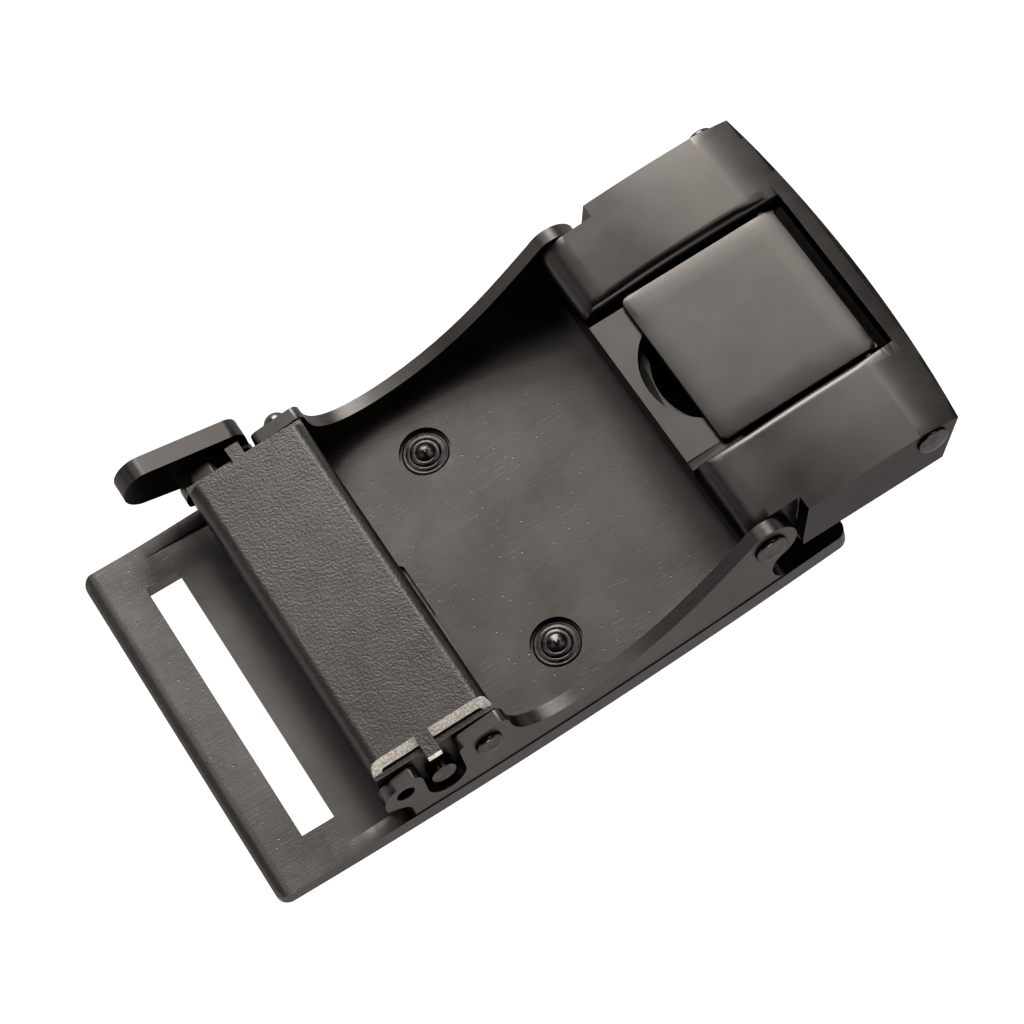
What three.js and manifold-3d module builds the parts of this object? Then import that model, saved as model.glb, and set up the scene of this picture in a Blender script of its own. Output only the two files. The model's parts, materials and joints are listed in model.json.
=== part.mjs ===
// Automatic strap buckle for a 35 mm belt, lying on its bowed front face.
// Millimetres, +X along the belt from the window end to the clamp end, +Y across it, +Z up, which is
// the back of the buckle. Every side outline below is drawn in X and Z and extruded across the belt.
import * as THREE from "three";
import { mergeVertices } from "three/addons/utils/BufferGeometryUtils.js";
import Module from "manifold-3d";

const wasm = await Module();
wasm.setup();

// ---- driving dimensions -------------------------------------------------------------------------
const FACE = { left: -5, right: 58.3, halfWidth: 20, corner: 1.2, bow: 330, lowX: 18, lowZ: -2.6 };
const FLOOR = 1.7; // thickness of the frame's plate
const RIM = 2.05; // thickness at its raised side rims
const WINDOW = { left: 0, right: 3.5, halfLength: 15.5 };
const WALL = { inner: 18.5, outer: 19.9 };
const PANEL = { left: 6, right: 56, halfWidth: 17.4, thick: 0.7, pocket: 0.75, corner: 1 };
const TOOTH_POCKET = { left: 15.5, right: 22, halfWidth: 3.4, depth: 0.5, corner: 0.6 };
const STUD = { x: 30, y: 12.4, shank: 1.2, head: 1.75, sink: 2.6, sinkDepth: 0.55 };

const HOUSING = { left: 8.2, right: 21, top: 8.5, low: 3.8, skin: 0.9, bend: 1.3, halfLength: 17.35 };
const END_PLATE = { inner: 17.45, outer: 18.35, low: 3.1, top: 7.3 };
const TONGUE = { left: 13.3, right: 14.75, reach: 19.4 };
const PAWL_PIN = { x: 10, z: 4.9, radius: 0.55 };
const SPINDLE = { x: 14.1, z: 3.5, radius: 1.35, flat: 0.7 };
const HOUSING_RIVET = { x: 19, z: 4.9, shank: 0.9 };
const HOUSING_RIVET_HEAD = { near: { head: 1.4, dome: 0.75 }, far: { head: 1.4, dome: 1.7 } };
const LEVER = { inner: 20.5, outer: 22.6, hub: 1.9 };

const CLAMP = { front: 48.5, end: 72.7, low: 4.8, halfWidth: 19.9, neck: 18.35, lip: 0.1 };
const CLAMP_PIVOT = { x: 50.4, z: 8.05, shank: 1 };
const CLAMP_RIVET_HEAD = { near: { head: 1.7, dome: 0.75 }, far: { head: 1.55, dome: 0.75 } };
const EAR_RADIUS = 2.85; // round end of the wall that carries the clamp's rivet
const MOUTH = { left: 51.6, halfWidth: 17.6, low: 5.5, top: 8.4 };
const RECESS = { floor: 9.8, right: 70.8, halfWidth: 9.75, windowLeft: 54.2, shoulder: 1.1 };
const SCOOP = { x: 56.4, y: -0.3, radius: 6.85, floor: 7.9 };
const PRESS = { left: 52.3, right: 69.5, halfWidth: 9.2, top: 10.6, lip: 9.95, corner: 0.7 };
const PRESS_PIN = { x: 68.35, z: 9.3, radius: 0.75, head: 1.6, nearDome: 0.5, farDome: 0.9 };

const FIT = 0.1; // clearance all round a rivet or pin
const SEAM = 0.05; // clearance between faces that meet
const REST_TILT = THREE.MathUtils.degToRad(3.2); // the bowed face rolls until it balances

// ---- solids ------------------------------------------------------------------------------------
function solid(geometry) {
  const bare = geometry.clone();
  bare.deleteAttribute("normal");
  bare.deleteAttribute("uv");
  const merged = mergeVertices(bare, 1e-4);
  const mesh = new wasm.Mesh({
    numProp: 3,
    vertProperties: new Float32Array(merged.attributes.position.array),
    triVerts: new Uint32Array(merged.index.array),
  });
  return new wasm.Manifold(mesh);
}

function surface(made) {
  const mesh = made.getMesh();
  const positions = new THREE.BufferAttribute(mesh.vertProperties, 3);
  return new THREE.BufferGeometry()
    .setAttribute("position", positions)
    .setIndex(new THREE.BufferAttribute(mesh.triVerts, 1));
}

const join = (...parts) => parts.reduce((whole, part) => whole.add(part));
const cut = (whole, ...tools) => tools.reduce((left, tool) => left.subtract(tool), whole);

function box(x, y, z) {
  const size = [x, y, z].map(([low, high]) => high - low);
  const middle = [x, y, z].map(([low, high]) => (high + low) / 2);
  return solid(new THREE.BoxGeometry(...size).translate(...middle));
}

// A side outline (x, z) extruded from y = low to y = high.
function across(shape, low, high, curveSegments = 12) {
  const options = { depth: high - low, bevelEnabled: false, curveSegments };
  return solid(new THREE.ExtrudeGeometry(shape, options).rotateX(Math.PI / 2).translate(0, high, 0));
}

// A plan outline (x, y) extruded from z = low to z = high.
function upright(shape, low, high, curveSegments = 8) {
  const options = { depth: high - low, bevelEnabled: false, curveSegments };
  return solid(new THREE.ExtrudeGeometry(shape, options).translate(0, 0, low));
}

// A profile [radius, y] turned about the line across the belt through (x, z).
function turned(profile, { x, z }, segments = 24) {
  const points = profile.map(([radius, y]) => new THREE.Vector2(radius, y));
  return solid(new THREE.LatheGeometry(points, segments).translate(x, 0, z));
}

const rod = (at, radius, low, high, segments = 24) =>
  turned([[0, low], [radius, low], [radius, high], [0, high]], at, segments);

const mirrored = (made) => made.mirror([0, 1, 0]);

function roundedRectangle(x0, x1, y0, y1, radius) {
  const quarter = Math.PI / 2;
  return new THREE.Shape()
    .absarc(x1 - radius, y0 + radius, radius, -quarter, 0)
    .absarc(x1 - radius, y1 - radius, radius, 0, quarter)
    .absarc(x0 + radius, y1 - radius, radius, quarter, 2 * quarter)
    .absarc(x0 + radius, y0 + radius, radius, 2 * quarter, 3 * quarter)
    .closePath();
}

// The side outline of a bowed strip between two heights above the front face.
function bowedBand(left, right, low, high) {
  const centreZ = FACE.lowZ + FACE.bow;
  const angle = (x, radius) => -Math.PI / 2 + Math.asin((x - FACE.lowX) / radius);
  const [under, over] = [FACE.bow - low, FACE.bow - high];
  return new THREE.Shape()
    .absarc(FACE.lowX, centreZ, under, angle(left, under), angle(right, under))
    .absarc(FACE.lowX, centreZ, over, angle(right, over), angle(left, over), true)
    .closePath();
}

const faceHeight = (x) => FACE.lowZ + (x - FACE.lowX) ** 2 / (2 * FACE.bow);

// A headed rivet whose dome stands on the plane y = seat and whose shank ends at y = tip.
function rivet({ x, z, shank }, { head, dome }, tip, seat) {
  const edge = 0.15;
  const steps = 5;
  const cap = [];
  for (let i = 0; i <= steps; i++) {
    const turn = (i / steps) * (Math.PI / 2);
    const radius = i === steps ? 0 : head * Math.cos(turn);
    cap.push([radius, seat + edge + (dome - edge) * Math.sin(turn)]);
  }
  return turned([[0, tip], [shank, tip], [shank, seat], [head, seat], ...cap], { x, z }, 28);
}

// ---- face frame ----------------------------------------------------------------------------------
// Side wall: hooked ear, notch for the spindle, rivet ear, long sweep, and the clamp's round ear.
function wallOutline() {
  const ear = CLAMP_PIVOT;
  const foot = -1.5;
  const rise = THREE.MathUtils.degToRad(135);
  const heel = THREE.MathUtils.degToRad(-58);
  const notch = 2.05;
  return new THREE.Shape()
    .moveTo(10, foot)
    .lineTo(10, 1.1)
    .quadraticCurveTo(10, 2.2, 8.9, 2.8)
    .lineTo(7.75, 3.45)
    .quadraticCurveTo(7.35, 5.6, 9.1, 6.5)
    .lineTo(11.2, 6.8)
    .quadraticCurveTo(11.95, 6.7, SPINDLE.x - notch, 5.6)
    .lineTo(SPINDLE.x - notch, 2.95)
    .absarc(SPINDLE.x, 2.95, notch, Math.PI, 2 * Math.PI)
    .lineTo(SPINDLE.x + notch, 6.3)
    .quadraticCurveTo(SPINDLE.x + notch, 6.85, 16.8, 6.95)
    .lineTo(20.6, 7.35)
    .quadraticCurveTo(21.5, 7.3, 21.55, 6.3)
    .bezierCurveTo(21.6, 3.2, 24, 2.1, 28.5, 2.1)
    .bezierCurveTo(
      37.5, 2.3, 43.6, 6.9,
      ear.x + EAR_RADIUS * Math.cos(rise), ear.z + EAR_RADIUS * Math.sin(rise),
    )
    .absarc(ear.x, ear.z, EAR_RADIUS, rise, heel, true)
    .quadraticCurveTo(50.3, 5.1, 50.05, 3.6)
    .quadraticCurveTo(50, 1.6, 51.4, faceHeight(51.4) + RIM - 0.05)
    .lineTo(51.4, -0.4)
    .closePath();
}

function faceFrame() {
  const { left, right, halfWidth, corner } = FACE;
  const plan = roundedRectangle(left, right, -halfWidth, halfWidth, corner);
  const plate = across(bowedBand(left, right, 0, FLOOR), -halfWidth, halfWidth, 20);
  const rim = across(bowedBand(left, right, 0.3, RIM), WALL.inner, halfWidth, 20);
  const wall = across(wallOutline(), WALL.inner, WALL.outer);
  const side = cut(
    join(rim, wall),
    rod(PAWL_PIN, 0.95, WALL.inner - 1, WALL.outer + 1),
    rod(HOUSING_RIVET, HOUSING_RIVET.shank + FIT, WALL.inner - 1, WALL.outer + 1),
    rod(CLAMP_PIVOT, CLAMP_PIVOT.shank + FIT, WALL.inner - 1, WALL.outer + 1),
  );
  const body = join(plate, side, mirrored(side));
  const trimmed = body.intersect(upright(plan, -10, 20));
  const pocket = upright(panelPlan(SEAM), -10, 5).intersect(
    across(bowedBand(left, right, -2, PANEL.pocket), -halfWidth, halfWidth, 20),
  );
  const window = box(
    [WINDOW.left, WINDOW.right],
    [-WINDOW.halfLength, WINDOW.halfLength],
    [-10, 5],
  );
  return cut(trimmed, pocket, window, toothPocket(), ...studSeats());
}

// A shallow sink in the floor below the pawl's edge.
function toothPocket() {
  const { left: x0, right: x1, halfWidth: y, depth, corner } = TOOTH_POCKET;
  const low = FACE.lowZ + FLOOR - depth;
  return upright(roundedRectangle(x0, x1, -y, y, corner), low, low + 3);
}

// A hole for each stud, opened out to a round sink on the back of the plate.
function studSeats() {
  const top = faceHeight(STUD.x) + FLOOR;
  return [1, -1].flatMap((side) =>
    [[STUD.shank + FIT, -10, 5], [STUD.sink, top - STUD.sinkDepth, 5]].map(([radius, low, high]) => {
      const hole = new THREE.Shape().absarc(STUD.x, side * STUD.y, radius, 0, 2 * Math.PI);
      return upright(hole, low, high, 16);
    }),
  );
}

// ---- front panel and its studs -------------------------------------------------------------------
function panelPlan(grow) {
  const { left, right, halfWidth, corner } = PANEL;
  return roundedRectangle(left - grow, right + grow, -halfWidth - grow, halfWidth + grow, corner);
}

function frontPanel() {
  const band = across(bowedBand(PANEL.left - 1, PANEL.right + 1, 0, PANEL.thick), -19, 19, 20);
  return band.intersect(upright(panelPlan(0), -10, 5));
}

// Welded to the panel's back and spun over in the sink: a shank, a wide rim and a low domed middle.
function panelStud(side) {
  const foot = faceHeight(STUD.x) + PANEL.thick + 0.08;
  const sinkFloor = faceHeight(STUD.x) + FLOOR - STUD.sinkDepth;
  const profile = [
    [0, foot],
    [STUD.shank, foot],
    [STUD.shank, sinkFloor + SEAM],
    [STUD.head, sinkFloor + SEAM],
    [STUD.head, sinkFloor + 0.2],
    [1.2, sinkFloor + 0.32],
    [0.6, sinkFloor + 0.42],
    [0, sinkFloor + 0.48],
  ];
  const points = profile.map(([radius, height]) => new THREE.Vector2(radius, height));
  const stud = new THREE.LatheGeometry(points, 28).rotateX(Math.PI / 2);
  return solid(stud.translate(STUD.x, side * STUD.y, 0));
}

// ---- pawl housing --------------------------------------------------------------------------------
// A pressed cover: flat top, two long edges bent down, an end plate at each end, and a tongue that
// drops into the notch of each wall.
function pawlHousing() {
  const { left, right, top, low, skin, bend, halfLength } = HOUSING;
  const quarter = Math.PI / 2;
  const outline = (inset, bottom) => {
    const radius = bend - inset;
    const [x0, x1] = [left + inset, right - inset];
    const bendZ = top - inset - radius;
    return new THREE.Shape()
      .moveTo(x0, bottom)
      .lineTo(x0, bendZ)
      .absarc(x0 + radius, bendZ, radius, 2 * quarter, quarter, true)
      .absarc(x1 - radius, bendZ, radius, quarter, 0, true)
      .lineTo(x1, bottom)
      .closePath();
  };
  const shell = across(outline(0, low), -halfLength, halfLength, 8);
  const hollow = across(outline(skin, low - 1), -halfLength - 1, halfLength + 1, 8);
  const flangeEnd = (x) =>
    box([x, x + skin], [halfLength - 0.5, END_PLATE.outer], [low, END_PLATE.top - 0.8]);
  const plate = join(
    box([left, right], [END_PLATE.inner, END_PLATE.outer], [END_PLATE.low, END_PLATE.top]),
    rod(SPINDLE, 2.3, END_PLATE.inner, END_PLATE.outer),
    flangeEnd(left),
    flangeEnd(right - skin),
  );
  const tongue = box([TONGUE.left, TONGUE.right], [halfLength - 1, TONGUE.reach], [top - skin, top]);
  const bores = [
    rod(PAWL_PIN, PAWL_PIN.radius + FIT, 15, 20),
    rod(SPINDLE, SPINDLE.radius + FIT, 15, 20),
    rod(HOUSING_RIVET, HOUSING_RIVET.shank + FIT, 17, 20),
  ];
  const end = cut(plate, ...bores);
  return join(cut(shell, hollow), end, mirrored(end), tongue, mirrored(tongue));
}

// ---- pawl and its spring -------------------------------------------------------------------------
// A blade with a toothed edge that drops on the strap's rack, hung from two lugs on the pin.
function pawl() {
  const { x, z, radius } = PAWL_PIN;
  const under = SPINDLE.z + SPINDLE.flat + SEAM;
  const blade = new THREE.Shape()
    .moveTo(11.2, under)
    .lineTo(16.6, under)
    .lineTo(18.2, 1.9)
    .lineTo(18.9, 1.9)
    .lineTo(19.2, 3.2)
    .lineTo(19.3, 5.9)
    .lineTo(11.2, 5.9)
    .closePath();
  const lug = cut(
    join(rod({ x, z }, 1.4, 12.5, 16.6), box([x, 11.6], [12.5, 16.6], [under + 0.3, 5.9])),
    rod({ x, z }, radius + FIT, 12, 17),
    box([0, 9.25], [12, 17], [0, 10]),
  );
  return join(across(blade, -16.6, 16.6), lug, mirrored(lug));
}

// Coils round the pin, one leg on the pawl and one under the housing's top.
function pawlSpring() {
  const wire = 0.14;
  const coil = { radius: PAWL_PIN.radius + wire + 0.03, turns: 5, pitch: 0.4 };
  const start = -(coil.turns * coil.pitch) / 2;
  const route = [
    new THREE.Vector3(15.4, start - 0.1, 6.15),
    new THREE.Vector3(11.1, start - 0.1, 6.15),
  ];
  const perTurn = 10;
  for (let i = 0; i <= coil.turns * perTurn; i++) {
    const turn = (i / perTurn) * 2 * Math.PI + Math.PI / 2;
    route.push(new THREE.Vector3(
      PAWL_PIN.x + coil.radius * Math.cos(turn),
      start + (i / perTurn) * coil.pitch,
      PAWL_PIN.z + coil.radius * Math.sin(turn),
    ));
  }
  route.push(new THREE.Vector3(14.6, -start + 0.1, 7.35));
  const section = new THREE.Shape().absarc(0, 0, wire, 0, 2 * Math.PI);
  const path = new THREE.CatmullRomCurve3(route, false, "centripetal");
  const options = { steps: 66, bevelEnabled: false, curveSegments: 3, extrudePath: path };
  return solid(new THREE.ExtrudeGeometry(section, options));
}

// ---- release lever and its spindle -----------------------------------------------------------------
// The flat on the middle of the spindle lies under the pawl, and its edge lifts the pawl as it turns.
function releaseSpindle() {
  const { x, z, radius, flat } = SPINDLE;
  const bar = rod({ x, z }, radius, -19.6, LEVER.inner - SEAM);
  return cut(bar, box([x - 3, x + 3], [-17.2, 17.2], [z + flat, z + 3]));
}

function releaseLever() {
  const tip = { x: 5.1, z: 7.65, radius: 2.45 };
  const shape = new THREE.Shape()
    .absarc(tip.x, tip.z, tip.radius, THREE.MathUtils.degToRad(252), THREE.MathUtils.degToRad(76), true)
    .lineTo(14.4, 7.45)
    .quadraticCurveTo(15.7, 7.15, 15.8, 5.9)
    .lineTo(15.8, 3.6)
    .absarc(SPINDLE.x, SPINDLE.z, 1.7, 0, THREE.MathUtils.degToRad(-110), true)
    .closePath();
  const blade = across(shape, LEVER.inner, LEVER.outer);
  const hub = rod(SPINDLE, LEVER.hub, WALL.outer + SEAM, LEVER.inner + 0.2);
  const socket = rod(SPINDLE, SPINDLE.radius + SEAM, WALL.outer, LEVER.inner);
  return cut(join(blade, hub), socket);
}

// ---- clamp ---------------------------------------------------------------------------------------
function clampBody() {
  const { front, end, low, halfWidth, neck } = CLAMP;
  const side = new THREE.Shape()
    .moveTo(front + 1, low)
    .quadraticCurveTo(front, low, front, low + 1)
    .lineTo(front, 8)
    .quadraticCurveTo(front, 10.7, front + 3.2, 10.85)
    .lineTo(67.1, 11.35)
    .quadraticCurveTo(68.3, 11.38, end, 10.3)
    .lineTo(end + 2, low)
    .closePath();
  // the end bows outwards in plan and leans in towards the belt
  const endBow = new THREE.Shape()
    .moveTo(40, -halfWidth)
    .lineTo(end - 1.5, -halfWidth)
    .quadraticCurveTo(end + 1.5, 0, end - 1.5, halfWidth)
    .lineTo(40, halfWidth)
    .closePath();
  const lean = 0.37;
  const options = { depth: 20, bevelEnabled: false, curveSegments: 16 };
  const shear = new THREE.Matrix4().makeShear(0, 0, 0, 0, lean, 0);
  const bow = new THREE.ExtrudeGeometry(endBow, options);
  const leaning = bow.clone().applyMatrix4(shear).translate(-lean * 10.3, 0, 0);
  const jaw = box([60, end], [-16, 16], [low, MOUTH.low]);
  const lip = solid(bow.translate(-CLAMP.lip, 0, 0)).intersect(jaw);
  const ledge = box(
    [front, RECESS.windowLeft],
    [-RECESS.halfWidth, RECESS.halfWidth],
    [low + 1, RECESS.floor],
  );
  const block = join(across(side, -halfWidth, halfWidth, 16).intersect(solid(leaning)), lip, ledge);

  const shoulder = new THREE.Shape()
    .moveTo(40, 0)
    .lineTo(53.3, 0)
    .lineTo(53.7, 5.8)
    .lineTo(54.9, 11)
    .lineTo(54.9, 20)
    .lineTo(40, 20)
    .closePath();
  const earRoom = across(shoulder, neck, halfWidth + 2);
  const recess = box([40, RECESS.right], [-RECESS.halfWidth, RECESS.halfWidth], [RECESS.floor, 20]);
  const shoulders = recessShoulder();
  const well = box(
    [RECESS.windowLeft, RECESS.right],
    [-RECESS.halfWidth, RECESS.halfWidth],
    [MOUTH.low + 1, 20],
  );
  const mouth = box([MOUTH.left, 90], [-MOUTH.halfWidth, MOUTH.halfWidth], [MOUTH.low, MOUTH.top]);
  const scoop = new THREE.Shape().absarc(SCOOP.x, SCOOP.y, SCOOP.radius, 0, 2 * Math.PI);
  const fingerRoom = upright(scoop, SCOOP.floor, 20, 24).intersect(box([40, 56], [-9, 9], [0, 30]));
  const rivetBore = rod(CLAMP_PIVOT, CLAMP_PIVOT.shank + FIT, 16.8, 25);
  const pinBore = rod(PRESS_PIN, PRESS_PIN.radius + FIT, -25, 25);
  return cut(
    block, earRoom, mirrored(earRoom), recess, shoulders, mirrored(shoulders), well, mouth, fingerRoom,
    rivetBore, mirrored(rivetBore), pinBore,
  );
}

// What rounds over the long edge between a side band and the recess, level with the band's slope.
function recessShoulder() {
  const { halfWidth, right, shoulder } = RECESS;
  const slope = Math.atan2(0.5, 15.4);
  const top = 10.85;
  const corner = new THREE.Shape()
    .moveTo(halfWidth - 1, top - shoulder)
    .lineTo(halfWidth, top - shoulder)
    .absarc(halfWidth + shoulder, top - shoulder, shoulder, Math.PI, Math.PI / 2, true)
    .lineTo(halfWidth + shoulder, top + 2)
    .lineTo(halfWidth - 1, top + 2)
    .closePath();
  const length = right - 51.7 + 5;
  const options = { depth: length, bevelEnabled: false, curveSegments: 8 };
  const cutter = new THREE.ExtrudeGeometry(corner, options).rotateY(Math.PI / 2).rotateX(Math.PI / 2);
  return solid(cutter.translate(-5, 0, -top).rotateY(-slope).translate(51.7, 0, top));
}

// The square plate is a cam lever: pressed flat, the ridges beside its pin bite into the strap.
function pressPlate() {
  const { left, right, halfWidth, top, lip, corner } = PRESS;
  const face = upright(roundedRectangle(left, right, -halfWidth, halfWidth, corner), lip, top);
  const { x, z, radius } = PRESS_PIN;
  const under = new THREE.Shape()
    .moveTo(RECESS.windowLeft + 0.5, lip + 0.1)
    .lineTo(RECESS.windowLeft + 0.9, 8.9)
    .lineTo(65.6, 8.9)
    .lineTo(66.3, 7.55)
    .lineTo(67, 8)
    .lineTo(67.3, 7.4)
    .lineTo(68, 7.85)
    .lineTo(68.3, 7.3)
    .absarc(x, z, 1.45, -Math.PI / 2 + 0.3, 0.4)
    .lineTo(right - 0.1, lip + 0.1)
    .closePath();
  const cam = across(under, -halfWidth + 0.1, halfWidth - 0.1, 6);
  return cut(join(face, cam), rod({ x, z }, radius + FIT, -20, 20));
}

function pressPlatePin() {
  const { x, z, radius, head, nearDome, farDome } = PRESS_PIN;
  const seat = CLAMP.halfWidth + SEAM;
  const cap = (dome) =>
    [[head, seat], [head, seat + 0.12], [head * 0.7, seat + dome * 0.8], [0, seat + dome]];
  const near = cap(nearDome).map(([r, y]) => [r, -y]).reverse();
  return turned([...near, [radius, -seat], [radius, seat], ...cap(farDome)], { x, z }, 24);
}

// ---- assembly ------------------------------------------------------------------------------------
const gunmetal = { color: 0x5a5653, roughness: 0.34, metalness: 1 };
const blasted = { color: 0x4c4844, roughness: 0.62, metalness: 1 };
const steel = { color: 0x6e6a66, roughness: 0.3, metalness: 1 };
const springSteel = { color: 0x8a8784, roughness: 0.25, metalness: 1 };

const buckle = new THREE.Group();
function add(name, made, finish) {
  const mesh = new THREE.Mesh(surface(made), new THREE.MeshStandardMaterial(finish));
  mesh.name = name;
  buckle.add(mesh);
}

add("face_frame", faceFrame(), gunmetal);
add("front_panel", frontPanel(), gunmetal);
add("pawl_housing", pawlHousing(), blasted);
add("pawl_pin", rod(PAWL_PIN, PAWL_PIN.radius, -19.3, 19.3), steel);
add("pawl", pawl(), steel);
add("pawl_spring", pawlSpring(), springSteel);
add("release_spindle", releaseSpindle(), steel);
add("release_lever", releaseLever(), gunmetal);
add("clamp_body", clampBody(), gunmetal);
add("press_plate", pressPlate(), gunmetal);
add("press_plate_pin", pressPlatePin(), steel);

const rivetSeat = WALL.outer + SEAM;
for (const [label, side] of [["far", 1], ["near", -1]]) {
  const housingRivet = rivet(HOUSING_RIVET, HOUSING_RIVET_HEAD[label], END_PLATE.inner - 0.35, rivetSeat);
  const clampRivet = rivet(CLAMP_PIVOT, CLAMP_RIVET_HEAD[label], 17, rivetSeat);
  const placed = (made) => (side > 0 ? made : mirrored(made));
  add(`panel_stud_${label}`, panelStud(side), steel);
  add(`housing_rivet_${label}`, placed(housingRivet), steel);
  add(`clamp_rivet_${label}`, placed(clampRivet), steel);
}

// Lie the buckle on its face, centred over the origin.
buckle.rotation.y = REST_TILT;
buckle.updateMatrixWorld(true);
const reach = new THREE.Box3().setFromObject(buckle, true);
const middle = reach.getCenter(new THREE.Vector3());
buckle.position.set(-middle.x, -middle.y, -reach.min.z);

export default buckle;
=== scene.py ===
import json
import math

import bmesh
import bpy
from mathutils import Matrix, Vector


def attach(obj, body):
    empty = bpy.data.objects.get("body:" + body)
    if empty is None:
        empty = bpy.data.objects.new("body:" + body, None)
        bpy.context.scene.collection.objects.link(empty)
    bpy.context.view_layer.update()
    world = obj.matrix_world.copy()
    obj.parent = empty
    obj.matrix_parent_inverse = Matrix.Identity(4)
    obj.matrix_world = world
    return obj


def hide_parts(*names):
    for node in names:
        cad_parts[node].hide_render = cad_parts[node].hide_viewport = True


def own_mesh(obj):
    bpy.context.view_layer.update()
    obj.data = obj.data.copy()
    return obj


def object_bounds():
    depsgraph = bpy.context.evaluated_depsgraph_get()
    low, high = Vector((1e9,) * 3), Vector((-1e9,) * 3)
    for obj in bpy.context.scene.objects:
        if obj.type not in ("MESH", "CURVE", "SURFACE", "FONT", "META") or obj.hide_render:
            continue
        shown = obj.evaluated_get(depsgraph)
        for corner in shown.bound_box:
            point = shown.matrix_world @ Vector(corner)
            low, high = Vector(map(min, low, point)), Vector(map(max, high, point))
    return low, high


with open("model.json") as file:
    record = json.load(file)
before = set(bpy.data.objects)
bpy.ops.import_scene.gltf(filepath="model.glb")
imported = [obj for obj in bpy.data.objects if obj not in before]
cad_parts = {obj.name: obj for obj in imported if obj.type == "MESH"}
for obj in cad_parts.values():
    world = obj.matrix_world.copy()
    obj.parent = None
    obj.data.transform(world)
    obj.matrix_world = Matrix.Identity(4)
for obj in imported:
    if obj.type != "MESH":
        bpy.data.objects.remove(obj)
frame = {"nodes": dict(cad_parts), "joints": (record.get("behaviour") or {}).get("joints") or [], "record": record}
cad_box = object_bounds()

# ---- the buckle's own frame -------------------------------------------------------------------
# Shapes are drawn in millimetres in the buckle's own frame, before it rolls on its bowed face:
# +X along the belt to the clamp end, +Y across it to the lever, +Z out of the back.
ROLL = math.radians(3.2)
SPINDLE = Vector((14.1, 0, 3.5))
spindle_at = next(j for j in frame["joints"] if j["name"] == "release_lever_press")["pos_m"]
TURNED = Matrix.Rotation(ROLL, 4, "Y")
PLACE = (
    Matrix.Translation(Vector(spindle_at))
    @ TURNED
    @ Matrix.Scale(0.001, 4)
    @ Matrix.Translation(-SPINDLE)
)


# ---- shaping ----------------------------------------------------------------------------------
def arc(x, y, radius, start, end, steps):
    """Points on an arc, in degrees."""
    angles = [math.radians(start + (end - start) * i / steps) for i in range(steps + 1)]
    return [(x + radius * math.cos(a), y + radius * math.sin(a)) for a in angles]


def prism(outline, low, high):
    """A plan outline (x, y) raised from z = low to z = high."""
    bm = bmesh.new()
    face = bm.faces.new([bm.verts.new((x, y, low)) for x, y in outline])
    grown = bmesh.ops.extrude_face_region(bm, geom=[face])["geom"]
    top = [v for v in grown if isinstance(v, bmesh.types.BMVert)]
    bmesh.ops.translate(bm, verts=top, vec=(0, 0, high - low))
    bmesh.ops.recalc_face_normals(bm, faces=bm.faces)
    return bm


def turned(profile, x, z):
    """A profile of (radius, y) spun about the line across the belt through (x, z)."""
    bm = bmesh.new()
    points = [bm.verts.new((radius, y, 0)) for radius, y in profile]
    edges = [bm.edges.new(pair) for pair in zip(points, points[1:])]
    bmesh.ops.spin(
        bm, geom=points + edges, cent=(0, 0, 0), axis=(0, 1, 0), angle=2 * math.pi, steps=48,
        use_merge=True,
    )
    bmesh.ops.remove_doubles(bm, verts=bm.verts, dist=0.001)
    bmesh.ops.recalc_face_normals(bm, faces=bm.faces)
    bmesh.ops.translate(bm, verts=bm.verts, vec=(x, 0, z))
    return bm


def copied(node):
    """The CAD node's own shape, merged, with its flat faces whole again."""
    bm = bmesh.new()
    bm.from_mesh(frame["nodes"][node].data)
    bm.transform(PLACE.inverted())
    bmesh.ops.remove_doubles(bm, verts=bm.verts, dist=0.003)
    bmesh.ops.dissolve_limit(
        bm, angle_limit=math.radians(0.2), verts=bm.verts, edges=bm.edges, delimit=set()
    )
    return bm


def sliced(bm, normal, places, reach=-100):
    """Cuts edge loops where planes with this normal cross the faces that reach some height."""
    for place in places:
        faces = [f for f in bm.faces if max(v.co.z for v in f.verts) > reach]
        edges = {e for f in faces for e in f.edges}
        verts = {v for f in faces for v in f.verts}
        bmesh.ops.bisect_plane(
            bm, geom=[*verts, *edges, *faces], dist=1e-4, plane_co=Vector(normal) * place,
            plane_no=normal,
        )
    return bm


def eased(bm, width, steeper, segments, among=None, inner=True):
    """Rounds the edges that turn by more than some degrees, or only the outer ones of them."""
    edges = [
        e for e in bm.edges
        if e.is_manifold and e.calc_face_angle() > math.radians(steeper)
        and (inner or e.is_convex)
        and (among is None or among((e.verts[0].co + e.verts[1].co) / 2))
    ]
    bmesh.ops.bevel(
        bm, geom=edges, offset=width, offset_type="OFFSET", segments=segments, profile=0.5,
        affect="EDGES", clamp_overlap=True, material=-1,
    )
    return bm


def joined(*shapes):
    """Several shapes as one mesh."""
    whole = shapes[0]
    for shape in shapes[1:]:
        spare = bpy.data.meshes.new("spare")
        shape.to_mesh(spare)
        whole.from_mesh(spare)
        bpy.data.meshes.remove(spare)
        shape.free()
    return whole


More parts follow.
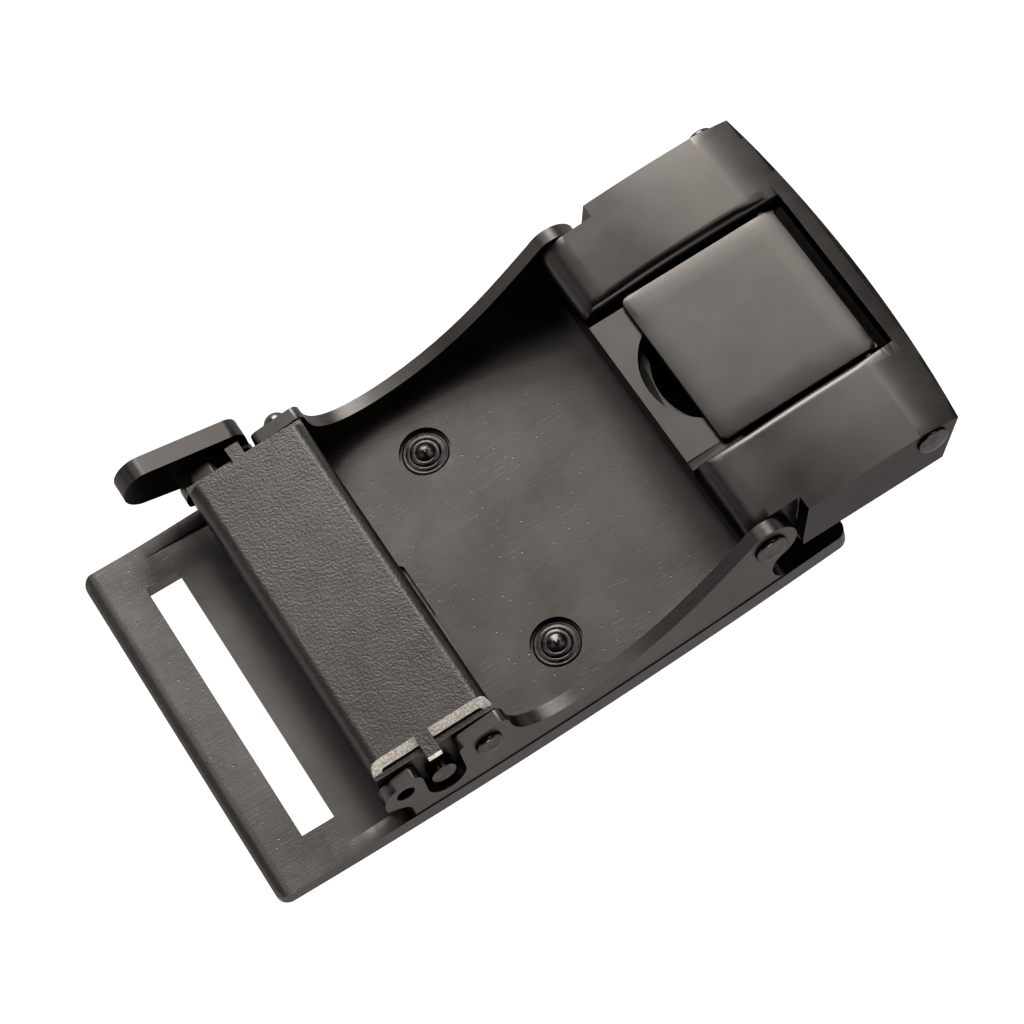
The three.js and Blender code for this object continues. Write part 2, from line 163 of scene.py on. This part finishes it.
def cut(bm, *tools):
    """What is left of a shape when the tools' shapes are taken out of it."""
    made = []
    for shape in (bm, *tools):
        mesh = bpy.data.meshes.new("spare")
        shape.to_mesh(mesh)
        shape.free()
        holder = bpy.data.objects.new("spare", mesh)
        bpy.context.scene.collection.objects.link(holder)
        made.append(holder)
    for tool in made[1:]:
        step = made[0].modifiers.new("cut", "BOOLEAN")
        step.operation = "DIFFERENCE"
        step.solver = "EXACT"
        step.object = tool
    seen = made[0].evaluated_get(bpy.context.evaluated_depsgraph_get())
    left = bmesh.new()
    left.from_mesh(seen.to_mesh())
    seen.to_mesh_clear()
    for holder in made:
        mesh = holder.data
        bpy.data.objects.remove(holder)
        bpy.data.meshes.remove(mesh)
    bmesh.ops.remove_doubles(left, verts=left.verts, dist=0.001)
    return left


# ---- finishes ---------------------------------------------------------------------------------
def colour(text):
    """sRGB hex to the linear values that shaders take."""
    parts = [int(text[i:i + 2], 16) / 255 for i in (1, 3, 5)]
    linear = [c / 12.92 if c <= 0.04045 else ((c + 0.055) / 1.055) ** 2.4 for c in parts]
    return (*linear, 1)


def add(tree, kind, settings=None, links=None):
    """Adds a node with its settings, and links its inputs to other nodes' outputs."""
    node = tree.nodes.new(kind)
    for key, value in (settings or {}).items():
        if isinstance(key, int) or key in node.inputs:
            node.inputs[key].default_value = value
        else:
            setattr(node, key, value)
    for key, (other, output) in (links or {}).items():
        tree.links.new(other.outputs[output], node.inputs[key])
    return node


def metal(name, darker, lighter, rough, uneven=0.05, cloud=5.0, edge=(0.6, 0.6, 0.6, 1)):
    """A bare or plated metal whose tone and roughness drift over clouds of some millimetres.

    Black nickel stays dark when seen along the surface, which the edge tint gives.

    Returns its material, node tree, shader, and a Mapping node that gives millimetres along the
    belt, across it and up.
    """
    made = bpy.data.materials.new(name)
    made.use_nodes = True
    tree = made.node_tree
    surface = tree.nodes["Principled BSDF"]
    surface.inputs["Metallic"].default_value = 1
    surface.inputs["Specular Tint"].default_value = edge
    where = add(tree, "ShaderNodeTexCoord")
    mm = add(
        tree, "ShaderNodeMapping",
        {"Scale": (1000, 1000, 1000), "Rotation": (0, -ROLL, 0)}, {"Vector": (where, "Object")},
    )
    clouds = add(
        tree, "ShaderNodeTexNoise", {"Scale": 1 / cloud, "Detail": 3, "Roughness": 0.6},
        {"Vector": (mm, 0)},
    )
    tone = add(tree, "ShaderNodeValToRGB", links={"Fac": (clouds, "Fac")})
    for stop, place, value in zip(tone.color_ramp.elements, (0.35, 0.65), (darker, lighter)):
        stop.position = place
        stop.color = colour(value)
    tree.links.new(tone.outputs["Color"], surface.inputs["Base Color"])
    sheen = add(
        tree, "ShaderNodeMapRange",
        {"From Min": 0.3, "From Max": 0.7, "To Min": rough - uneven, "To Max": rough + uneven},
        {"Value": (clouds, "Fac")},
    )
    tree.links.new(sheen.outputs["Result"], surface.inputs["Roughness"])
    return made, tree, surface, mm


# Black-nickel (gun-metal) plating over a cast and tumbled zinc alloy: a dark warm grey mirror
# broken up into a soft satin, so it shows lights as wide glows.
satin, tree, surface, mm = metal("gunmetal_plated_satin_casting", "#454240", "#4a4744", 0.3, 0.03)
pores = add(tree, "ShaderNodeTexNoise", {"Scale": 1 / 0.3, "Detail": 2}, {"Vector": (mm, 0)})
orange_peel = add(
    tree, "ShaderNodeBump", {"Strength": 0.12, "Distance": 0.00001}, {"Height": (pores, "Fac")}
)
tree.links.new(orange_peel.outputs["Normal"], surface.inputs["Normal"])

# The same plating over a face that was brushed along the belt, assumed at 180 grit. Its lines
# would be under 0.1 mm apart, too fine to show, so they are drawn at about 0.2 mm, with a few
# short scuffs and plating pits.
brushed, tree, surface, mm = metal(
    "gunmetal_plated_brushed_steel", "#54514e", "#5b5754", 0.33, 0.03, 7
)
along = add(tree, "ShaderNodeMapping", {"Scale": (0.1, 4.5, 1)}, {"Vector": (mm, 0)})
lines = add(tree, "ShaderNodeTexNoise", {"Scale": 1, "Detail": 4}, {"Vector": (along, 0)})
grooved = add(
    tree, "ShaderNodeBump", {"Strength": 0.6, "Distance": 0.000014}, {"Height": (lines, "Fac")}
)
aslant = add(
    tree, "ShaderNodeMapping", {"Scale": (0.5, 5, 1), "Rotation": (0, 0, math.radians(24))},
    {"Vector": (mm, 0)},
)
rubs = add(tree, "ShaderNodeTexNoise", {"Scale": 1.4, "Detail": 1}, {"Vector": (aslant, 0)})
few = add(
    tree, "ShaderNodeMapRange", {"From Min": 0.66, "From Max": 0.74}, {"Value": (rubs, "Fac")}
)
scuffed = add(
    tree, "ShaderNodeBump", {"Strength": 0.35, "Distance": 0.000012},
    {"Height": (few, "Result"), "Normal": (grooved, "Normal")},
)
spots = add(tree, "ShaderNodeTexVoronoi", {"Scale": 0.9, "Randomness": 1}, {"Vector": (mm, 0)})
pits = add(
    tree, "ShaderNodeMapRange", {"From Min": 0.03, "From Max": 0.1},
    {"Value": (spots, "Distance")},
)
pitted = add(
    tree, "ShaderNodeBump", {"Strength": 0.6, "Distance": 0.00003},
    {"Height": (pits, "Result"), "Normal": (scuffed, "Normal")},
)
tree.links.new(pitted.outputs["Normal"], surface.inputs["Normal"])

# Sheet steel, shot-blasted before plating: a dull, leathery grain with small glints. The dents'
# size is assumed, and they are noise in cells of 0.22 mm.
blasted, tree, surface, mm = metal(
    "gunmetal_plated_shot_blasted_steel", "#4d4a47", "#524f4c", 0.38, 0.03, 3
)
dents = add(
    tree, "ShaderNodeTexNoise", {"Scale": 1 / 0.22, "Detail": 1, "Roughness": 0.5},
    {"Vector": (mm, 0)},
)
peened = add(
    tree, "ShaderNodeBump", {"Strength": 0.75, "Distance": 0.00005}, {"Height": (dents, "Fac")}
)
tree.links.new(peened.outputs["Normal"], surface.inputs["Normal"])

# The ledge round the clamp's thumb scoop: rougher, and painted darker as painted shade.
ledge_painted_shade = metal("gunmetal_plated_ledge_painted_shade", "#383634", "#3d3b39", 0.38, 0.03, 3)[0]

# Steel torn by the press's shear after plating: pale, coarse and matt. It is only partly
# metallic so that it comes out pale enough.
torn, tree, surface, mm = metal(
    "bare_sheared_steel", "#c9c1b6", "#fff8ee", 0.85, 0.08, 0.25, (1, 1, 1, 1)
)
surface.inputs["Metallic"].default_value = 0.45
tears = add(
    tree, "ShaderNodeTexNoise", {"Scale": 1 / 0.16, "Detail": 3, "Roughness": 0.7},
    {"Vector": (mm, 0)},
)
ragged = add(
    tree, "ShaderNodeBump", {"Strength": 0.8, "Distance": 0.0001}, {"Height": (tears, "Fac")}
)
tree.links.new(ragged.outputs["Normal"], surface.inputs["Normal"])

# The inside of the clamp's mouth is painted near-black as painted shade, with a gritty bump.
mouth_painted_shade, tree, surface, mm = metal(
    "clamp_mouth_painted_shade", "#161514", "#1f1d1c", 0.6, 0.05, 2, (0.3, 0.3, 0.3, 1)
)
sand = add(tree, "ShaderNodeTexNoise", {"Scale": 1 / 0.4, "Detail": 3}, {"Vector": (mm, 0)})
gritty = add(
    tree, "ShaderNodeBump", {"Strength": 0.5, "Distance": 0.00005}, {"Height": (sand, "Fac")}
)
tree.links.new(gritty.outputs["Normal"], surface.inputs["Normal"])

# Turned and plated steel of the rivets, pins, spindle and pawl: smoother, with sharper lights.
turned_steel = metal("gunmetal_plated_turned_steel", "#4b4846", "#5a5653", 0.24, 0.05, 1)[0]

# Stud heads spun down with a punch, their plating painted darker as painted shade in their sinks.
stud_painted_shade = metal("gunmetal_plated_stud_painted_shade", "#393735", "#494643", 0.25, 0.05, 0.8)[0]

# Drawn spring wire is oiled, not plated, so it is paler than the plated pieces.
wire_steel = metal("drawn_spring_steel", "#6d6a66", "#8a8783", 0.22, 0.04, 1)[0]


# ---- pieces -----------------------------------------------------------------------------------
BODY_OF = {
    node: body
    for body, nodes in frame["record"]["behaviour"]["bodies"].items()
    for node in nodes
}


def piece(name, bm, node, *materials):
    """Sets a shape in its place as the piece that stands for a CAD node."""
    mesh = bpy.data.meshes.new(name)
    bm.transform(PLACE)
    bm.to_mesh(mesh)
    bm.free()
    for material in materials:
        mesh.materials.append(material)
    mesh.shade_smooth()
    mesh.set_sharp_from_angle(angle=math.radians(50))
    made = bpy.data.objects.new(name, mesh)
    bpy.context.scene.collection.objects.link(made)
    flat = made.modifiers.new("flat faces stay flat", "WEIGHTED_NORMAL")
    flat.weight = 100
    flat.keep_sharp = True
    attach(made, BODY_OF[node])
    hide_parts(node)
    return made


def paint(bm, index, among):
    """Gives the faces picked by their middle and normal another of the piece's materials."""
    bm.normal_update()
    for face in bm.faces:
        if among(face.calc_center_median(), face.normal):
            face.material_index = index


def ramp(value, start, end):
    """0 before start, 1 after end, smooth between."""
    t = min(max((value - start) / (end - start), 0), 1)
    return t * t * (3 - 2 * t)


PLATE_BOTTOM, PLATE_THICK = -2.6, 1.7


def floor_height(x):
    """Top of the frame's bowed plate."""
    return PLATE_BOTTOM + (x - 18) ** 2 / 660 + PLATE_THICK


# Face frame: the rims die away towards the window end, whose outer edge is well rounded, and the
# plate is dished between the window and the housing.
END = -5.09
ROLLED, ROLL_DROP = 1.4, 1.2
HOUSING_SIDE = 9.5
RIM_INSIDE, RIM_HEIGHT = 17.5, 0.6
WINDOW_SIDE, DISH_START, DISHED = -3.4, 3.6, 1.1
rolls = [END + ROLLED * (1 - t) for t in (0.97, 0.9, 0.78, 0.62, 0.42, 0.2, 0)]
frame_shape = sliced(
    copied("face_frame"), (1, 0, 0), [*rolls, -2, 0, 2, 4, 5, 6, 7, 8, HOUSING_SIDE]
)
for v in frame_shape.verts:
    over = v.co.z - floor_height(v.co.x)
    if abs(v.co.y) > RIM_INSIDE and v.co.x < HOUSING_SIDE and 0.05 < over < RIM_HEIGHT:
        v.co.z -= over * (1 - ramp(v.co.x, 0, HOUSING_SIDE))
    elif abs(v.co.y) < 17 and DISH_START < v.co.x < HOUSING_SIDE + 0.1 and abs(over) < 0.06:
        v.co.z -= DISHED * ((v.co.x - DISH_START) / (HOUSING_SIDE - DISH_START)) ** 1.4
bmesh.ops.remove_doubles(frame_shape, verts=frame_shape.verts, dist=0.02)
for v in frame_shape.verts:
    t = min((END + ROLLED - v.co.x) / ROLLED, 1)
    if t > 0 and v.co.z > floor_height(v.co.x) - 0.3:
        v.co.z -= ROLL_DROP * (1 - math.sqrt(1 - t * t))


def above_rims(at):
    """Above the plate and its rims, so on the side walls."""
    return at.z > floor_height(at.x) + RIM_HEIGHT


def low_step(at):
    """On the plate and its rims, on the window's side of the housing."""
    return at.x < HOUSING_SIDE and at.z < floor_height(at.x) + RIM_HEIGHT


eased(frame_shape, 0.3, 50, 3, lambda at: above_rims(at) and abs(at.y) > 18.4)
eased(
    frame_shape, 0.12, 50, 2,
    lambda at: not low_step(at) or (WINDOW_SIDE < at.x and abs(at.y) < 17),
)
piece("face_frame_plated", frame_shape, "face_frame", brushed)

piece("front_panel_plated", eased(copied("front_panel"), 0.12, 50, 2), "front_panel", brushed)

# Pawl housing: blasted all over, then sheared to length, which bares the ends of its top and of
# its tongues. The near end is torn aslant, and the tongues are bent down a little.
TOP_UNDER, TOP = 7.2, 8.3
TOP_END, TONGUE_ROOT, TONGUE_END = 17.35, 19, 19.3
TONGUE_DROP, TORN_BACK, TORN_OUT = 0.45, 0.9, 0.6


def torn_end(at, normal):
    """On the ends of the top and of the tongues."""
    faces_out = normal.y * at.y > 0.5 * abs(at.y)
    return faces_out and (16.8 < abs(at.y) < 18.1 or abs(at.y) > TONGUE_END)


housing = copied("pawl_housing")
for v in housing.verts:
    if abs(v.co.y) > TONGUE_ROOT:
        v.co.z -= TONGUE_DROP
    elif abs(v.co.y + TOP_END) < 0.03:
        v.co.y += TORN_BACK * ramp(v.co.z, TOP_UNDER, TOP) - TORN_OUT * ramp(v.co.z, 6, TOP_UNDER)
eased(housing, 0.14, 40, 2)
paint(housing, 1, torn_end)
piece("pawl_housing_plated", housing, "pawl_housing", blasted, torn)

# Release lever and spindle.
piece("release_lever_plated", eased(copied("release_lever"), 0.22, 40, 3), "release_lever", satin)
spindle = eased(copied("release_spindle"), 0.2, 60, 2)
piece("release_spindle_turned", spindle, "release_spindle", turned_steel)

# Clamp body: a casting with softly crowned bands either side of the press plate. The ledge round
# its thumb scoop is rougher and painted darker, and its mouth painted near-black, both as painted shade.
BAND_FOOT, BAND_INSIDE, BAND_SIDE = 9.9, 9.7, 19.9
BAND_CROWN, SIDE_DROP, DROP_START = 0.22, 0.14, 14
BANDS_REACH = 9.5
crown_ys = [s * y for s in (-1, 1) for y in (11.2, 12.4, 13.6, 14.8, 16, 17.2, 18.7)]
crown_xs = [54.5, 56, 57.5, 59, 60.5, 62, 63.5, 65, 66.3]
clamp = sliced(copied("clamp_body"), (0, 1, 0), crown_ys, BANDS_REACH)
sliced(clamp, (1, 0, 0), crown_xs, BANDS_REACH)
for v in clamp.verts:
    if v.co.z > BAND_FOOT and abs(v.co.y) > BAND_INSIDE:
        raised = BAND_CROWN * max(1 - ((v.co.x - 60) / 7) ** 2, 0)
        outward = max(abs(v.co.y) - DROP_START, 0) / (BAND_SIDE - DROP_START)
        v.co.z += raised * ramp(v.co.z, BAND_FOOT, 10.7) - SIDE_DROP * outward ** 2


def off_band_tip(at):
    """Anywhere but where a band's inner side runs out on the end bar."""
    return not (70.6 < at.x and 9.8 < abs(at.y) < 12 and 10 < at.z)


def in_mouth(at, _):
    """Inside the strap's mouth."""
    return 51.5 < at.x < 73 and 5.4 < at.z < 8.5 and abs(at.y) < 17.7


def on_ledge(at, normal):
    """On the flat round the thumb scoop."""
    return normal.z > 0.9 and 7.6 < at.z < 8


under_scoop = prism(arc(57.5, -0.3, 6.85, 0, 355, 71), 6, 9)
clamp = eased(cut(clamp, under_scoop), 0.13, 50, 2, off_band_tip, inner=False)
# The mouth's faces are painted near-black as painted shade.
paint(clamp, 2, in_mouth)
# The ledge's faces are painted darker as painted shade.
paint(clamp, 1, on_ledge)
piece("clamp_body_plated", clamp, "clamp_body", satin, ledge_painted_shade, mouth_painted_shade)

# Press plate: its face is crowned across the belt and rolls down towards the hinge, over the CAD
# cam below it.
PLATE_UNDER, PLATE_TOP = 9.95, 10.6
FIRST, LAST, SIDE, CORNER = 53, 68.8, 8.5, 0.7
plate = prism(
    arc(LAST, -SIDE, CORNER, -90, 0, 6) + arc(LAST, SIDE, CORNER, 0, 90, 6)
    + arc(FIRST, SIDE, CORNER, 90, 180, 6) + arc(FIRST, -SIDE, CORNER, 180, 270, 6),
    PLATE_UNDER, PLATE_TOP,
)
near_lip, near_hinge = [53, 53.6, 54.4], [66, 66.6, 67.2, 67.7, 68.2, 68.6, 69]
sliced(plate, (1, 0, 0), [*near_lip, *range(56, 66, 2), *near_hinge])
sliced(plate, (0, 1, 0), [s * y for s in (-1, 1) for y in (0.001, 3, 6.4, 7, 7.6, 8.1, 8.6)])
for v in plate.verts:
    if v.co.z > PLATE_TOP - 0.1:
        across_drop = 0.12 * (max(abs(v.co.y) - 6.4, 0) / 2.8) ** 2
        hinge_drop = 0.2 * (max(v.co.x - 66.8, 0) / 2.7) ** 2
        lip_drop = 0.06 * (max(54.4 - v.co.x, 0) / 2.1) ** 2
        v.co.z -= across_drop + hinge_drop + lip_drop
eased(plate, 0.12, 50, 3)
cam = copied("press_plate")
bmesh.ops.bisect_plane(
    cam, geom=cam.verts[:] + cam.edges[:] + cam.faces[:], dist=1e-4,
    plane_co=(0, 0, 9.97), plane_no=(0, 0, 1), clear_outer=True,
)
bmesh.ops.holes_fill(cam, edges=[e for e in cam.edges if e.is_boundary], sides=0)
piece("press_plate_plated", joined(plate, cam), "press_plate", satin)

# Rivets and the cam's pin: domed heads that stand on the clamp's and the walls' outer sides.
SEAT = 19.95


def headed(head, dome):
    """Profile of a domed head, from its edge to its middle."""
    edge = 0.16
    angles = [math.radians(a) for a in range(0, 90, 10)]
    cap = [(head * math.cos(a), SEAT + edge + (dome - edge) * math.sin(a)) for a in angles]
    return [(head - 0.12, SEAT), (head, SEAT + 0.08), *cap, (0, SEAT + dome)]


def rivet(node, x, z, shank, head, dome, side):
    """A rivet through one wall, with its head on the outside."""
    profile = [(0, 17.1), (shank, 17.1), (shank, SEAT), *headed(head, dome)]
    piece(node + "_turned", turned([(r, side * y) for r, y in profile], x, z), node, turned_steel)


rivet("housing_rivet_far", 19, 4.9, 0.9, 1.4, 1.7, 1)
rivet("housing_rivet_near", 19, 4.9, 0.9, 1.4, 0.75, -1)
rivet("clamp_rivet_far", 50.4, 8.05, 1, 1.55, 0.75, 1)
rivet("clamp_rivet_near", 50.4, 8.05, 1, 1.7, 0.75, -1)
near_head = [(r, -y) for r, y in reversed(headed(1.6, 0.5))]
pin_profile = [*near_head, (0.75, -SEAT), (0.75, SEAT), *headed(1.6, 0.9)]
piece("press_plate_pin_turned", turned(pin_profile, 68.35, 9.3), "press_plate_pin", turned_steel)

# Panel studs: spun over in their sinks, which leaves rings round a small raised middle.
STUD_X, STUD_Y = 30, 12.4
RINGS = [
    (0, -1.5), (1.2, -1.5), (1.2, -0.6), (2.3, -0.56), (2.38, -0.48), (2.3, -0.4),
    (2.12, -0.37), (2.02, -0.42), (1.92, -0.38), (1.62, -0.31), (1.55, -0.34), (1.48, -0.29),
    (1.08, -0.2), (1, -0.23), (0.92, -0.18), (0.4, -0.06), (0.22, -0.02), (0.16, 0.02),
    (0.06, 0.03), (0, 0.03),
]
for label, side in (("far", 1), ("near", -1)):
    stud = turned(RINGS, 0, 0)
    bmesh.ops.rotate(stud, verts=stud.verts, matrix=Matrix.Rotation(math.pi / 2, 3, "X"))
    place = (STUD_X, side * STUD_Y, floor_height(STUD_X) - 0.02)
    bmesh.ops.translate(stud, verts=stud.verts, vec=place)
    node = "panel_stud_" + label
    # The stud heads are painted darker as painted shade.
    piece(node + "_spun", stud, node, stud_painted_shade)

# The pawl and its pin keep their CAD shapes under the housing, and the spring gets a mesh of its
# own.
for node in ("pawl", "pawl_pin"):
    inner = frame["nodes"][node].data.materials
    inner.clear()
    inner.append(turned_steel)
spring = piece("pawl_spring_coiled", copied("pawl_spring"), "pawl_spring", wire_steel)
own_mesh(spring)

# ---- floor, light and camera ------------------------------------------------------------------
floor_mesh = bpy.data.meshes.new("floor")
sheet = bmesh.new()
bmesh.ops.create_grid(sheet, x_segments=1, y_segments=1, size=3)
sheet.to_mesh(floor_mesh)
sheet.free()
floor = bpy.data.objects.new("floor", floor_mesh)
bpy.context.scene.collection.objects.link(floor)
floor.location.z = cad_box[0][2]
paper = bpy.data.materials.new("white_card")
paper.use_nodes = True
paper_surface = paper.node_tree.nodes["Principled BSDF"]
paper_surface.inputs["Base Color"].default_value = colour("#616161")
paper_surface.inputs["Roughness"].default_value = 0.9
paper_surface.inputs["Emission Color"].default_value = (1, 1, 1, 1)
paper_surface.inputs["Emission Strength"].default_value = 0.93
floor_mesh.materials.append(paper)

world = bpy.data.worlds.new("studio")
bpy.context.scene.world = world
world.use_nodes = True
# A pale wall all round, up to about 20 degrees, under a dark ceiling.
direction = add(world.node_tree, "ShaderNodeTexCoord")
height = add(world.node_tree, "ShaderNodeSeparateXYZ", links={"Vector": (direction, "Generated")})
wall = add(
    world.node_tree, "ShaderNodeMapRange",
    {"From Min": 0.3, "From Max": 0.45, "To Min": 0.8, "To Max": 0.03}, {"Value": (height, "Z")},
)
background = world.node_tree.nodes["Background"]
world.node_tree.links.new(wall.outputs["Result"], background.inputs["Strength"])
background.inputs["Color"].default_value = (1, 1, 1, 1)


LAMP_DISTANCE = 0.8


def softbox(name, azimuth, elevation, size, radiance):
    """A square light that faces the buckle from so many degrees right of far, and above it."""
    lamp = bpy.data.lights.new(name, "AREA")
    lamp.shape = "SQUARE"
    lamp.size = size
    lamp.energy = radiance * math.pi * size * size
    made = bpy.data.objects.new(name, lamp)
    bpy.context.scene.collection.objects.link(made)
    round_by, up = math.radians(azimuth), math.radians(elevation)
    away = Vector((
        math.sin(round_by) * math.cos(up), math.cos(round_by) * math.cos(up), math.sin(up)
    ))
    made.location = away * LAMP_DISTANCE
    made.rotation_euler = away.to_track_quat("Z", "Y").to_euler()


softbox("far_softbox", 15, 36, 0.33, 8.5)
softbox("far_low_softbox", 15, 21, 0.33, 8)
softbox("high_softbox", 35, 50, 0.32, 4.4)
softbox("high_left_softbox", -25, 64, 0.32, 1.4)
softbox("high_right_softbox", 75, 64, 0.32, 1.8)
softbox("left_softbox", -50, 36, 0.3, 0.8)
softbox("front_softbox", 180, 25, 0.3, 3)

TARGET = Vector((32.9, -1.3, 5.4))  # mm, in the buckle's own frame
DISTANCE = 361
AZIMUTH, ELEVATION, CAMERA_ROLL = 13.11, 62.71, -20.23  # degrees
view = bpy.data.cameras.new("camera")
view.lens = 134.3
view.sensor_width = 36
view.clip_start = 0.01
camera = bpy.data.objects.new("camera", view)
bpy.context.scene.collection.objects.link(camera)
facing = (
    Matrix.Rotation(math.radians(-AZIMUTH), 4, "Z")
    @ Matrix.Rotation(math.radians(90 - ELEVATION), 4, "X")
)
back = facing.to_3x3() @ Vector((0, 0, 1))
aimed = TURNED @ facing @ Matrix.Rotation(math.radians(CAMERA_ROLL), 4, "Z")
camera.matrix_world = Matrix.Translation(PLACE @ (TARGET + back * DISTANCE)) @ aimed
bpy.context.scene.camera = camera
bpy.context.scene.view_settings.view_transform = "Standard"
bpy.context.scene.view_settings.look = "Medium High Contrast"
